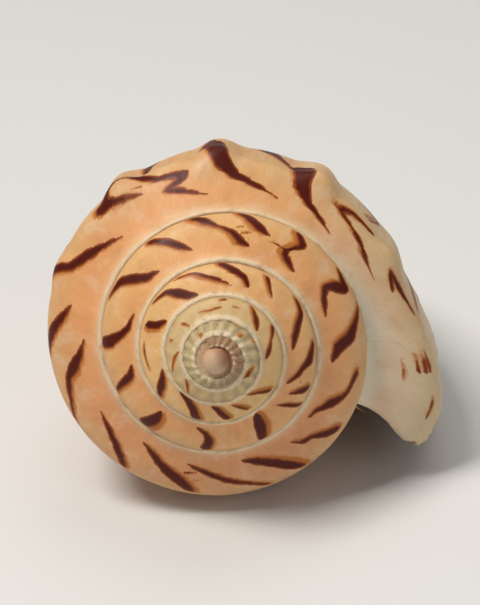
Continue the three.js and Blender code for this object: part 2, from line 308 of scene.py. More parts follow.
def relief(turn, row):
    """Height of the fine relief over the smooth outline."""
    scale = scale_at(turn)
    outward, inward = suture_gaps(turn, row)
    early = 1 - smoothstep(turn, *RIBLET_TURNS)
    width = ridge_width(turn)
    beyond = smoothstep(outward, 0.8 * width, 1.3 * width) * smoothstep(inward, 0.1, 0.4)
    ribs = RIBLET_HEIGHT * (riblet_wave(turn, row) - 0.5) * beyond
    height = rope(turn, row, outward) + early * ribs - GROOVE_DEPTH * np.exp(-((inward / GROOVE_WIDTH) ** 2))

    late = smoothstep(turn, -4, -1)
    seam = smoothstep(row, 0, 0.6)
    slant = 0.0035 * row
    for count, rise, seed in WRINKLES:
        height = height + rise * late * seam * noise(count * (turn + slant), row / 5, seed)
    across = row * 4.2 * scale
    dents = noise(turn * 220 * scale / DENT_SIZE, across / DENT_SIZE, 11)
    height = height + DENT_HEIGHT * late * seam * scale * dents

    steps = 0
    for i, edge in enumerate(LAMELLAE):
        shifted = turn - edge - 0.004 * noise(row * 0.9, i * 7.3, 20 + i)
        uneven = 0.6 + 0.4 * noise(row * 1.7, i * 3.1, 40 + i)
        steps = steps + np.where(shifted < 0, np.exp(shifted / LAMELLA_LENGTH), 0) * uneven
    shoulder = smoothstep(row, 6.5, 8.5)
    return height + LAMELLA_HEIGHT * steps * (0.12 + 0.88 * shoulder) * smoothstep(row, 2, 5)


def chips_at(turn, row):
    """Turns by which the chipped and ragged edge of the lip stands back."""
    depth = sum(size * np.exp(-(((row - at) / width) ** 2)) for at, width, size in CHIPS)
    ragged = 0.3 * noise(row * 3.1, 2, 61) + 0.18 * noise(row * 7.7, 5, 62)
    back = (depth * CHIP_DEPTH + ragged * smoothstep(row, 5, 8)) / (TAU * CHIP_RADIUS)
    return back * smoothstep(turn, -0.018, 0)


def column_turns():
    """Turns of the skin's columns, the same in every whorl."""
    in_turn = list(np.arange(COLUMNS) / COLUMNS)
    in_turn += list(1 - LIP_STRETCH * (np.arange(LIP_COLUMNS) + 0.5) / LIP_COLUMNS)
    in_turn += [1 - step / (TAU * RIM_RADIUS) for step in RIM_STEPS]
    in_turn = np.array(sorted(set(np.round(in_turn, 6))))
    whorls = [whorl + in_turn for whorl in range(-6, 0)]
    return np.append(np.concatenate(whorls), 0.0), len(in_turn)


class Faces:
    """Points and triangles gathered for one closed body."""

    def __init__(self):
        self.points = []
        self.count = 0
        self.triangles = []

    def add(self, points):
        points = np.asarray(points, float).reshape(-1, 3)
        first = self.count
        self.points.append(points)
        self.count += len(points)
        return np.arange(first, self.count)

    def quads(self, a, b, c, d):
        a, b, c, d = (np.ravel(x) for x in np.broadcast_arrays(a, b, c, d))
        self.triangles.append(np.stack([a, c, b], 1))
        self.triangles.append(np.stack([a, d, c], 1))

    def fan(self, a, b, c):
        self.triangles.append(np.stack([np.ravel(x) for x in np.broadcast_arrays(a, b, c)], 1))

    def mesh(self, name):
        points, triangles = np.concatenate(self.points), np.concatenate(self.triangles)
        used, triangles = np.unique(triangles, return_inverse=True)
        triangles = triangles.reshape(-1, 3)
        mesh = bpy.data.meshes.new(name)
        mesh.from_pydata(points[used].tolist(), [], triangles.tolist())
        return mesh, used


def whorls():
    """The outside of every whorl, closed across the aperture, and each point's turn and row."""
    turns, per_turn = column_turns()
    first = int(np.argmax(turns >= COIL_START))
    rows = np.append(np.interp(np.linspace(0, 1, RAMP_STEPS + 1), *zip(*RAMP_SPACING)),
                     RAMP_ROWS + FLANK_ROWS * np.arange(1, FLANK_STEPS + 1) / FLANK_STEPS)
    turn, row = np.meshgrid(turns[first:], rows, indexing="ij")

    radius, _ = outline(turn, row)
    inset = np.where(row > 1, rim_inset(turn, radius), 0) - relief(turn, row)
    radius, depth = inset_outline(turn, row, inset)
    points = place(radius, depth, turn - sweep_at(turn, row) - chips_at(turn, row))

    faces = Faces()
    index = faces.add(points).reshape(turn.shape)
    traits = np.stack([turn.ravel(), row.ravel()], 1)
    columns = len(index)
    index[:columns - per_turn, RAMP_STEPS] = index[per_turn:, 0]
    body = columns - 1 - per_turn

    ramp = index[:, :RAMP_STEPS + 1]
    faces.quads(ramp[:-1, :-1], ramp[:-1, 1:], ramp[1:, 1:], ramp[1:, :-1])
    flank = index[body:, RAMP_STEPS:]
    faces.quads(flank[:-1, :-1], flank[:-1, 1:], flank[1:, 1:], flank[1:, :-1])

    start = faces.add([0, 0, -SUTURE_DEPTH * scale_at(COIL_START + 0.5)])[0]
    faces.fan(start, index[1:per_turn + 1, 0], index[:per_turn, 0])
    faces.fan(start, index[0, :RAMP_STEPS], index[0, 1:RAMP_STEPS + 1])

    last_turns = turns[first + body:]
    drop = lerp(5, -1, smoothstep(last_turns, -0.45, -0.15))
    below = outline(last_turns, float(BODY_ROWS))[1] + drop
    axis = faces.add(np.stack([0 * below, 0 * below, -below], 1))
    faces.quads(index[body:-1, -1], axis[:-1], axis[1:], index[body + 1:, -1])

    # The mouth is closed across, and the hollow is cut through it later
    lip, before = index[-1], index[body]
    centre = faces.add(cavity_section(MOUTH_TURN).mean(0))[0]
    rim = np.concatenate([lip[:RAMP_STEPS + 2], before[RAMP_STEPS + 1:RAMP_STEPS + 2], lip[:1]])
    faces.fan(centre, rim[1:], rim[:-1])
    lip_side, inner_side = lip[RAMP_STEPS + 1:], before[RAMP_STEPS + 1:]
    faces.quads(inner_side[:-1], lip_side[:-1], lip_side[1:], inner_side[1:])
    faces.fan(lip[-1], axis[:-1], axis[1:])
    faces.fan(before[-1], axis[0], lip[-1])

    mesh, used = faces.mesh("whorls")
    traits = np.concatenate([traits, np.full((faces.count - len(traits), 2), np.nan)])
    return mesh, traits[used]


def pillar_radius(depth):
    along = np.clip((depth - PILLAR[0][1]) / (PILLAR[-1][1] - PILLAR[0][1]), 0, 1)
    return spline(PILLAR, along)[..., 0]


def inner_radius(turn, depth):
    """Inner side of the hollow: the whorl before under its glaze, or the pillar."""
    rows = np.linspace(RAMP_ROWS, BODY_ROWS, 160)
    radii, depths = outline(turn - 1, rows)
    bottom = depths[-1]
    whorl = np.interp(depth, depths, radii) * (1 - smoothstep(depth, bottom, bottom + 6))
    return np.maximum(whorl, pillar_radius(depth)) + CALLUS


def cavity_section(turn):
    """Closed section of the hollow at a turn."""
    wall = WALL * math.sqrt(scale_at(turn))
    bottom = outline(turn, float(BODY_ROWS))[1]
    opening = smoothstep(turn, *CANAL_TURNS)
    tries = np.arange(BODY_ROWS, RAMP_ROWS, -0.05)
    radius, depth = inset_outline(turn, tries, wall)
    deepest = bottom - wall * (1 - opening) + 2 * opening
    fits = (depth <= deepest) & (radius - inner_radius(turn, depth) >= LEAST_HOLLOW)
    last_row = tries[np.argmax(fits)]

    rows = lerp(CAVITY_ROW, last_row, np.linspace(0, 1, CAVITY_STEPS + 1))
    inset = wall - rim_inset(turn, outline(turn, rows)[0])
    radius, depth = inset_outline(turn, rows, inset)
    sweeps = sweep_at(turn, rows)
    # Near the lip the last point runs out through the front end, which opens the canal
    radius, depth = np.append(radius, radius[-1] - 0.3), np.append(depth, depth[-1] + 0.3 + 4 * opening)
    sweeps = np.append(sweeps, sweeps[-1])
    top, low = depth[0] + 0.6 * wall, depth[-1] - 0.2 * wall * (1 - opening)
    inner_depth = lerp(top, low, np.arange(CAVITY_STEPS + 2) / CAVITY_STEPS)
    inner = np.array([inner_radius(turn - sweep, at) for sweep, at in zip(sweeps, inner_depth)])
    sides = place(inner, inner_depth, turn - sweeps), place(radius, depth, turn - sweeps)[::-1]
    return np.concatenate(sides)


def tube(name, rings, first_cap, last_cap):
    """A closed tube of rings with the same number of points, with a point at either end."""
    rings = np.asarray(rings)
    faces = Faces()
    index = faces.add(rings).reshape(rings.shape[:2])
    around = np.roll(index, -1, axis=1)
    faces.fan(index[:-1], around[:-1], around[1:])
    faces.fan(index[:-1], around[1:], index[1:])
    ends = faces.add([first_cap, last_cap])
    faces.fan(around[0], index[0], ends[0])
    faces.fan(index[-1], around[-1], ends[1])
    return faces.mesh(name)[0]


def cavity():
    """The hollow, from its end to well past the lip."""
    deep = np.linspace(CAVITY_START, CAVITY_LIP_START, CAVITY_COLUMNS, endpoint=False)
    near = np.append(np.linspace(CAVITY_LIP_START, 0, CAVITY_LIP_COLUMNS), -CAVITY_LIP_START)
    near = np.sort(np.append(near, [-step / (TAU * RIM_RADIUS) for step in RIM_STEPS]))
    rings = [cavity_section(turn) for turn in np.append(deep, near)]
    return tube("cavity", rings, rings[0].mean(0), rings[-1].mean(0))


def pillar():
    """The pillar about the axis, with folds that wind round it."""
    depth = np.linspace(PILLAR[0][1], PILLAR[-1][1], PILLAR_RINGS)[:, None]
    turn = np.arange(PILLAR_COLUMNS)[None] / PILLAR_COLUMNS
    rise, full, fade, end = FOLD_DEPTHS
    strength = smoothstep(depth, rise, full) * (1 - smoothstep(depth, fade, end))
    wave = np.maximum(0, np.cos(TAU * (depth / FOLD_SPACING - FOLDS_IN_A_TURN * turn)))
    rings = place(pillar_radius(depth) + FOLD_HEIGHT * wave * strength, depth + 0 * turn, turn + 0 * depth)
    return tube("pillar", rings, (0, 0, -PILLAR[0][1]), (0, 0, -PILLAR[-1][1] - 0.8))


def dome():
    """The smooth round tip of the spire."""
    rise = np.linspace(0, math.pi, DOME_RINGS + 2)[1:-1, None]
    around = TAU * np.arange(DOME_COLUMNS)[None] / DOME_COLUMNS
    rings = np.stack(np.broadcast_arrays(
        DOME_RADIUS * np.sin(rise) * np.cos(around), DOME_RADIUS * np.sin(rise) * np.sin(around),
        DOME_RADIUS * np.cos(rise) - DOME_CENTRE_DEPTH), -1)
    top, low = (0, 0, DOME_RADIUS - DOME_CENTRE_DEPTH), (0, 0, -DOME_RADIUS - DOME_CENTRE_DEPTH)
    return tube("dome", rings[::-1], low, top)


def joined(base, steps):
    """The base mesh after each other mesh is joined to it or cut from it."""
    piece = bpy.data.objects.new("shell_skin", base)
    bpy.context.scene.collection.objects.link(piece)
    for mesh, operation in steps:
        tool = bpy.data.objects.new(mesh.name, mesh)
        bpy.context.scene.collection.objects.link(tool)
        cut = piece.modifiers.new(mesh.name, "BOOLEAN")
        cut.object, cut.operation, cut.solver = tool, operation, "MANIFOLD"
        done = bpy.data.meshes.new_from_object(piece.evaluated_get(bpy.context.evaluated_depsgraph_get()))
        piece.modifiers.clear()
        piece.data = done
        bpy.data.objects.remove(tool)
    return piece


def positions(mesh):
    flat = np.empty(3 * len(mesh.vertices))
    mesh.vertices.foreach_get("co", flat)
    return flat.reshape(-1, 3)


# Flames: each is a stroke of (degrees from the lip, row, half width in mm), from the suture outwards
BODY_FLAMES = [
    [(-348, 4.0, 0.2), (-353, 4.2, 0.5), (-360, 5.0, 0.95), (-365, 5.7, 0.5), (-376, 6.3, 0.45)],
    [(-333, 4.4, 0.2), (-337, 5.0, 0.5), (-342, 5.2, 0.45), (-347, 6.0, 0.8), (-351, 6.6, 0.7)],
    [(-308, 4.1, 0.3), (-315, 4.5, 0.9), (-322, 5.2, 1.0), (-327, 6.0, 1.0), (-331, 7.0, 0.6)],
    [(-283, 4.4, 0.25), (-292, 4.9, 0.65), (-300, 5.5, 0.65), (-308, 6.0, 0.55), (-316, 7.1, 0.35)],
    [(-261, 4.2, 0.25), (-267, 4.6, 0.7), (-275, 5.3, 1.0), (-282, 5.9, 1.1), (-287, 6.8, 0.8)],
    [(-239, 4.8, 0.25), (-246, 5.1, 0.6), (-252, 5.5, 0.75), (-258, 6.2, 0.85), (-261, 7.1, 0.7)],
    [(-208, 4.3, 0.3), (-214, 4.7, 0.8), (-219, 5.3, 1.25), (-223, 5.9, 0.8), (-231, 6.5, 0.45),
     (-238, 7.5, 0.4)],
    [(-195, 5.3, 0.3), (-201, 5.9, 0.9), (-206, 6.9, 1.0), (-214, 8.0, 0.7)],
    [(-161, 4.3, 0.25), (-170, 4.9, 0.75), (-177, 5.5, 1.15), (-183, 6.1, 0.9), (-188, 8.2, 0.9)],
    [(-146, 5.8, 0.3), (-155, 6.1, 0.6), (-162, 7.0, 1.3), (-155, 7.8, 1.1), (-149, 9.0, 1.3)],
    [(-123, 4.3, 0.25), (-133, 4.9, 0.75), (-139, 5.3, 0.5), (-132, 5.7, 0.85), (-130, 6.1, 0.7),
     (-140, 6.4, 0.7), (-148, 8.1, 1.0)],
    [(-96, 4.6, 0.2), (-105, 5.1, 0.7), (-113, 5.6, 1.0), (-119, 6.5, 1.6), (-122, 9.5, 2.1)],
    [(-72, 4.2, 0.2), (-79, 4.7, 0.65), (-86, 5.2, 0.9), (-91, 6.1, 1.4), (-93, 9.3, 2.0)],
    [(-48, 4.8, 0.2), (-57, 5.0, 0.55), (-63, 5.4, 0.65), (-72, 5.9, 0.5), (-78, 6.4, 0.55),
     (-72, 6.9, 0.65), (-63, 7.0, 0.4)],
    [(-45, 5.8, 0.35), (-51, 6.2, 0.5), (-45, 6.6, 0.75), (-36, 7.0, 0.3)],
    [(-19.5, 4.95, 0.25), (-16.5, 4.95, 0.36), (-13, 4.95, 0.25)],
    [(-23.5, 5.6, 0.35), (-19.5, 5.6, 0.5)],
    [(-26, 6.3, 0.2), (-22, 6.35, 0.38), (-20, 6.35, 0.25)],
    [(-13, 6.4, 0.2), (-8, 6.2, 0.35)],
]
SPIRE_FLAMES = [
    [(-723, 4.1, 0.25), (-731, 5.0, 0.5), (-736, 5.4, 0.45), (-741, 6.1, 0.75), (-752, 7.0, 0.4)],
    [(-716, 4.9, 0.2), (-720, 5.8, 0.5), (-724, 6.9, 0.6)],
    [(-704, 4.4, 0.15), (-709, 5.5, 0.45), (-713, 7.3, 0.4)],
    [(-688, 3.7, 0.8), (-686, 5.0, 1.15), (-683, 7.2, 0.8)],
    [(-643, 4.1, 0.3), (-649, 4.6, 0.5), (-652, 5.5, 0.8), (-650, 7.0, 0.9)],
    [(-616, 4.3, 0.5), (-617, 5.3, 1.1), (-614, 7.2, 1.1)],
    [(-579, 4.1, 0.2), (-586, 4.6, 0.8), (-588, 5.3, 0.75), (-592, 7.2, 0.4)],
    [(-546, 4.0, 0.2), (-556, 4.3, 0.55), (-561, 4.9, 0.7), (-566, 6.1, 1.1), (-567, 7.3, 1.0)],
    [(-516, 4.3, 0.25), (-524, 4.7, 0.8), (-529, 5.4, 0.95), (-535, 6.7, 0.8), (-545, 7.5, 0.35)],
    [(-493, 4.4, 0.2), (-498, 5.0, 0.7), (-504, 5.9, 0.8), (-513, 7.6, 0.5)],
    [(-462, 4.5, 0.3), (-467, 4.8, 0.75), (-472, 5.5, 0.55), (-479, 6.0, 0.25), (-485, 6.9, 0.8),
     (-491, 8.0, 0.6)],
    [(-453, 5.6, 0.25), (-459, 6.2, 0.8), (-465, 7.2, 0.8), (-470, 8.0, 0.5)],
    [(-434, 4.2, 0.25), (-440, 4.6, 0.65), (-445, 5.1, 0.6), (-441, 5.7, 0.55), (-438, 6.4, 0.6),
     (-443, 7.6, 0.6)],
    [(-444, 5.3, 0.35), (-453, 5.4, 0.15)],
    [(-404, 4.2, 0.2), (-412, 4.6, 0.65), (-418, 5.2, 0.6), (-415, 6.0, 1.15), (-412, 6.8, 0.9),
     (-420, 7.6, 0.4)],
    [(-380, 4.2, 0.4), (-388, 4.8, 1.2), (-391, 5.6, 1.1), (-397, 6.4, 0.6), (-403, 7.7, 0.35)],
    [(-1054, 3.7, 0.1), (-1064, 4.8, 0.26), (-1073, 6.5, 0.26)],
    [(-1033, 4.1, 0.1), (-1040, 5.0, 0.26), (-1046, 6.1, 0.2)],
    [(-1012, 4.0, 0.2), (-1018, 4.6, 0.45), (-1026, 6.5, 0.5)],
    [(-974, 3.4, 0.2), (-986, 4.1, 0.5), (-995, 5.2, 0.6), (-1000, 7.0, 0.6)],
    [(-944, 3.9, 0.15), (-952, 4.5, 0.42), (-959, 5.4, 0.6), (-965, 7.0, 0.4)],
    [(-941, 5.9, 0.08), (-930, 6.2, 0.16), (-920, 6.3, 0.08)],
    [(-896, 3.9, 0.25), (-904, 4.9, 0.6), (-907, 6.1, 0.6)],
    [(-857, 3.6, 0.2), (-865, 4.2, 0.65), (-872, 5.2, 0.75), (-879, 6.4, 0.4), (-892, 7.3, 0.2)],
    [(-827, 4.4, 0.1), (-839, 5.1, 0.26), (-848, 5.7, 0.3), (-855, 6.6, 0.25), (-868, 7.4, 0.1)],
    [(-814, 4.7, 0.3), (-819, 5.6, 0.5), (-828, 6.3, 0.6), (-837, 7.7, 0.5)],
    [(-793, 4.8, 0.1), (-799, 5.6, 0.3), (-805, 7.0, 0.35)],
    [(-750, 4.2, 0.25), (-759, 4.7, 0.6), (-766, 5.4, 0.6), (-773, 6.7, 0.42), (-782, 7.4, 0.25)],
    [(-1431, 4.1, 0.1), (-1439, 4.7, 0.32), (-1453, 5.5, 0.12)],
    [(-1324, 4.4, 0.08), (-1332, 5.1, 0.22), (-1340, 6.7, 0.1)],
    [(-1280, 3.9, 0.1), (-1290, 4.9, 0.2), (-1307, 6.2, 0.1)],
    [(-1268, 5.8, 0.2), (-1270, 6.3, 0.15)],
    [(-1239, 4.0, 0.1), (-1244, 5.4, 0.18)],
    [(-1218, 5.2, 0.05), (-1205, 4.8, 0.15), (-1193, 5.3, 0.12)],
    [(-1190, 7.0, 0.25), (-1195, 6.6, 0.15)],
    [(-1173, 5.6, 0.06), (-1180, 5.6, 0.1)],
    [(-1142, 4.3, 0.25), (-1150, 5.2, 0.38), (-1156, 5.9, 0.32), (-1163, 7.3, 0.15)],
    [(-1105, 4.1, 0.2), (-1113, 4.7, 0.34), (-1124, 5.5, 0.22), (-1135, 7.3, 0.32)],
    [(-1589, 4.1, 0.18), (-1589, 5.2, 0.12)],
    [(-1556, 5.8, 0.12), (-1557, 6.3, 0.08)],
    [(-1527, 6.9, 0.12), (-1528, 7.3, 0.08)],
    [(-1512, 4.7, 0.15), (-1511, 5.6, 0.12)],
    [(-1491, 6.9, 0.1), (-1494, 7.5, 0.1)],
]
# Flames that run on over the shoulder and down the flank: degrees from the lip, and half width in mm
FLANK_FLAMES = [
    (-36, 0.9), (-62, 1.1), (-93, 2.0), (-122, 2.1), (-149, 1.6), (-176, 1.3), (-188, 0.8), (-214, 1.1),
    (-240, 0.7), (-262, 1.0), (-288, 1.2), (-312, 0.8), (-331, 1.2), (-350, 0.9),
]
FLANK_BANDS = (10.6, 13.9)  # rows where the flank's flames swell
HALO_SHIFT = 0.6  # the soft amber edge lies on the side that grew first
INNER_SWELL = 1.35  # share by which the smallest whorls' flames are wider
GAP_HELD = 0.6  # farther than this from a flame, in mm, its half width falls away
CROWDED = 1.1  # where another flame is nearer than this, it falls away sooner
CROWDED_HELD = -0.05
FALL = 4  # how steeply it falls


def flank_strokes():
    """The flank's zigzag flames, which break up towards the front end."""
    rng = np.random.default_rng(12)
    for start, width in FLANK_FLAMES:
        stroke, side, degrees = [], 1, start
        for row in np.arange(8.6, 17.9, 0.62):
            swell = sum(math.exp(-(((row - band) / 0.8) ** 2)) for band in FLANK_BANDS)
            half = width * (0.3 + 0.75 * swell) * rng.uniform(0.6, 1.25) * (1 if row < 16 else 0.6)
            stroke.append((degrees, row, half))
            side = -side if rng.random() < 0.55 else side
            degrees += side * rng.uniform(1, 5.5) - 0.7
            if rng.random() < 0.13 and len(stroke) > 2:
                yield stroke
                stroke = []
                degrees += rng.uniform(-4, 4)
        if len(stroke) > 1:
            yield stroke


def stroke_offsets(ends, halves, x, y):
    """Signed offset from the line of one stretch of a stroke, and its half width there."""
    (ax, ay), (bx, by) = ends
    length = max(math.hypot(bx - ax, by - ay), 1e-6)
    along_x, along_y = (bx - ax) / length, (by - ay) / length
    along = (x - ax) * along_x + (y - ay) * along_y
    beyond = np.maximum(np.maximum(-along, along - length), 0)
    return (y - ay) * along_x - (x - ax) * along_y, lerp(*halves, np.clip(along / length, 0, 1)) - beyond


def flame_lines(turn, row):
    """Offset from the nearest flame's line and half width, in mm, for the flames and for their halos.

    The offset is signed, so that it stays straight between one point of the mesh and the next.
    """
    rng = np.random.default_rng(33)
    fields = [[np.full(len(turn), value) for value in (FAR, 0.0, FAR, FAR)] for _ in range(2)]
    arc = arc_at(row)
    for stroke in [*BODY_FLAMES, *SPIRE_FLAMES, *flank_strokes()]:
        degrees, rows, halves = np.array(stroke, float).T
        turns = degrees / 360
        scale = float(scale_at(turns.mean()))
        halves = halves * lerp(INNER_SWELL, 1, smoothstep(scale, 0.25, 0.5))
        around = TAU * float(outline(turns.mean(), rows.mean())[0])
        soft = HALO_SHIFT * math.sqrt(scale) * rng.uniform(0.4, 1.7)
        reach = (FAR + halves.max()) / around
        near = np.flatnonzero((turn > turns.min() - reach) & (turn < turns.max() + reach))
        x, y = turn[near] * around, arc[near] * scale
        for (offset, half, gap, other_gap), shift, swell in zip(fields, (0, soft), (0, 0.25 * soft)):
            line = np.column_stack([turns * around - shift, arc_at(rows) * scale])
            parts = np.array([stroke_offsets(line[i:i + 2], halves[i:i + 2] + swell, x, y)
                              for i in range(len(stroke) - 1)])
            best = np.argmin(np.abs(parts[:, 0]) - parts[:, 1], axis=0)
            side, width = parts[best, :, np.arange(len(near))].T
            own_gap = np.abs(side) - width
            nearer = own_gap < gap[near]
            other_gap[near] = np.where(nearer, gap[near], np.minimum(other_gap[near], own_gap))
            chosen = near[nearer]
            offset[chosen], half[chosen], gap[chosen] = side[nearer], width[nearer], own_gap[nearer]
    lines = []
    for offset, half, gap, other_gap in fields:
        held = np.where(other_gap < CROWDED, CROWDED_HELD, GAP_HELD)
        half = half - FALL * np.maximum(0, gap - held)
        lines.append(np.column_stack([np.clip(offset, -FAR, FAR), half, np.zeros(len(half))]))
    return lines


# Ground colours, as linear red, green and blue
GROUND = [  # turn and colour
    (-5.4, (0.26, 0.15, 0.09)), (-4.95, (0.34, 0.23, 0.14)), (-4.7, (0.50, 0.42, 0.20)),
    (-4.2, (0.52, 0.42, 0.22)), (-3.7, (0.60, 0.44, 0.22)), (-3.0, (0.74, 0.47, 0.20)),
    (-2.3, (0.80, 0.46, 0.18)), (-1.9, (0.74, 0.38, 0.16)), (-1.3, (0.80, 0.42, 0.15)),
    (-0.9, (0.66, 0.33, 0.16)), (-0.55, (0.74, 0.35, 0.14)), (-0.3, (0.72, 0.38, 0.15)),
    (-0.14, (0.70, 0.47, 0.25)), (-0.05, (0.66, 0.51, 0.31)), (0, (0.62, 0.50, 0.33)),
]
SALMON = (0.80, 0.34, 0.14)
SHOULDER = (0.62, 0.44, 0.22)
SUTURE_PALE = (0.82, 0.62, 0.40)
WHITE_CALLUS = (0.72, 0.62, 0.46)
DOME_PALE = (0.60, 0.41, 0.27)
# red-brown of one side of the dome, which also holds painted shade
DOME_RED_BROWN_AND_SHADE = (0.24, 0.09, 0.04)
INSIDE_DEEP = (0.78, 0.42, 0.20)
INSIDE_LIP = (0.78, 0.66, 0.48)


def mix(base, colour, share):
    return lerp(base, np.array(colour), np.asarray(share)[..., None])


def ground_colour(turn, row):
    at = [pair[0] for pair in GROUND]
    base = np.stack([np.interp(turn, at, [pair[1][k] for pair in GROUND]) for k in range(3)], -1)
    base = mix(base, SALMON, 0.45 * np.exp(-(((row - 4.2) / 1.0) ** 2)) * smoothstep(turn, -3, -2))
    shoulder = smoothstep(row, 4.8, 7.5) * (1 - smoothstep(row, 9, 11)) * smoothstep(turn, -3, -1)
    base = mix(base, SHOULDER, 0.4 * shoulder)
    base = base * (1 + 0.05 * noise(turn * 26, row * 0.9, 71))[..., None]
    base = mix(base, SUTURE_PALE, 0.6 * (1 - smoothstep(row, 1.8, 4)) * smoothstep(turn, -4, -3))
    # Painted shade between the riblets and painted light on their crests, on the earliest whorls
    ribs = (1 - smoothstep(turn, *RIBLET_TURNS)) * (riblet_wave(turn, row) - 0.5)
    base = base * (1 + 0.3 * ribs)[..., None]
    base = mix(base, WHITE_CALLUS, smoothstep(turn, -0.24, -0.07) * (1 - smoothstep(row, 3, 6.5)))
    glaze = (1 - smoothstep(turn, -1, -0.93)) * smoothstep(row, 9.05, 9.8) * (turn > -1.01)
    return mix(base, WHITE_CALLUS, 0.75 * glaze)


# The dome darkens to red-brown towards one side: partly its own colour, partly painted shade on the side
# away from the light
def dome_colour(points):
    return mix(np.full((len(points), 3), DOME_PALE), DOME_RED_BROWN_AND_SHADE,
               smoothstep(0.8 * points[:, 0] + 0.45 * points[:, 1], -0.6, 2.3))


def inside_colour(points):
    bearing = -np.degrees(np.arctan2(points[:, 1], points[:, 0])) - LIP_BEARING
    back = -(bearing % 360 - 360) / 360
    return mix(np.full((len(points), 3), INSIDE_LIP), INSIDE_DEEP, smoothstep(back, 0.01, 0.12))


def traits_of(points):
    """Turn and row of each point that lies on the outside, and NaN for the others."""
    tree = kdtree.KDTree(len(skin_points))
    for i, point in enumerate(skin_points):
        tree.insert(point, i)
    tree.balance()
    found = [tree.find(point) for point in points]
    traits = skin_traits[[i for _, i, _ in found]]
    traits[np.array([gap for _, _, gap in found]) > SAME_PLACE] = np.nan
    return traits


def give(mesh, name, kind, values, domain="POINT"):
    attribute = mesh.attributes.new(name, kind, domain)
    key = {"FLOAT": "value", "FLOAT_COLOR": "color", "FLOAT_VECTOR": "vector"}[kind]
    attribute.data.foreach_set(key, np.ascontiguousarray(values, dtype=np.float32).ravel())


def paint(mesh):
    """Attributes that the material reads: ground, flames and halos, whorl size, growth and suture gaps."""
    points = positions(mesh)
    traits = traits_of(points)
    outside = ~np.isnan(traits[:, 0])
    turn, row = traits[outside].T
    from_centre = np.linalg.norm(points + (0, 0, DOME_CENTRE_DEPTH), axis=1)
    on_dome = np.abs(from_centre - DOME_RADIUS) < SAME_PLACE
    on_dome &= ~outside

    colour = inside_colour(points)
    colour[on_dome] = dome_colour(points[on_dome])
    colour[outside] = ground_colour(turn, row)
    give(mesh, "ground", "FLOAT_COLOR", np.column_stack([colour, np.ones(len(points))]))

    for name, found in zip(("flame_lines", "halo_lines"), flame_lines(turn, row)):
        lines = np.full((len(points), 3), (FAR, -FAR, 0))
        lines[outside] = found
        give(mesh, name, "FLOAT_VECTOR", lines)
    size = np.full(len(points), 0.0)
    size[outside] = np.sqrt(scale_at(turn))
    give(mesh, "whorl_size", "FLOAT", size)

    corner_vertex = np.empty(len(mesh.loops), int)
    mesh.loops.foreach_get("vertex_index", corner_vertex)
    starts = np.empty(len(mesh.polygons), int)
    mesh.polygons.foreach_get("loop_start", starts)
    corners = np.nan_to_num(traits[corner_vertex])
    most = np.repeat(np.maximum.reduceat(corners[:, 1], starts), np.diff(np.append(starts, len(corners))))
    seam = (corners[:, 1] == 0) & (most > 6)
    corners[seam] += (-1, RAMP_ROWS)
    give(mesh, "growth", "FLOAT_VECTOR", np.column_stack([corners, np.zeros(len(corners))]), "CORNER")
    outward, inward = suture_gaps(*corners.T)
    share = outward / ridge_width(corners[:, 0]) + 1 - smoothstep(corners[:, 0], -5, -4.2)
    hidden = ~outside[corner_vertex]
    for gaps in (outward, inward, share):
        gaps[hidden] = FAR
    give(mesh, "suture", "FLOAT_VECTOR", np.column_stack([outward, inward, share]), "CORNER")


TO_REST = np.array(Matrix.Rotation(math.radians(90 - REST_PITCH), 3, "X")
                   @ Matrix.Rotation(math.radians(DOWN_BEARING - 90), 3, "Z"))
APEX_PLACE = np.array((-3.413, -53.300, 35.490))  # where the apex lies in the solid's frame, in mm


def at_rest(points):
    """From the shell's own frame to the resting pose of the solid, in mm."""
    return np.asarray(points) @ TO_REST.T + APEX_PLACE


def settle(mesh):
    """Move the mesh from the shell's own frame in mm to its resting place in metres."""
    mesh.vertices.foreach_set("co", (at_rest(positions(mesh)) * MM).ravel())
    mesh.polygons.foreach_set("use_smooth", np.ones(len(mesh.polygons), bool))
    mesh.set_sharp_from_angle(angle=math.radians(SHARP_DEGREES))
    mesh.update()


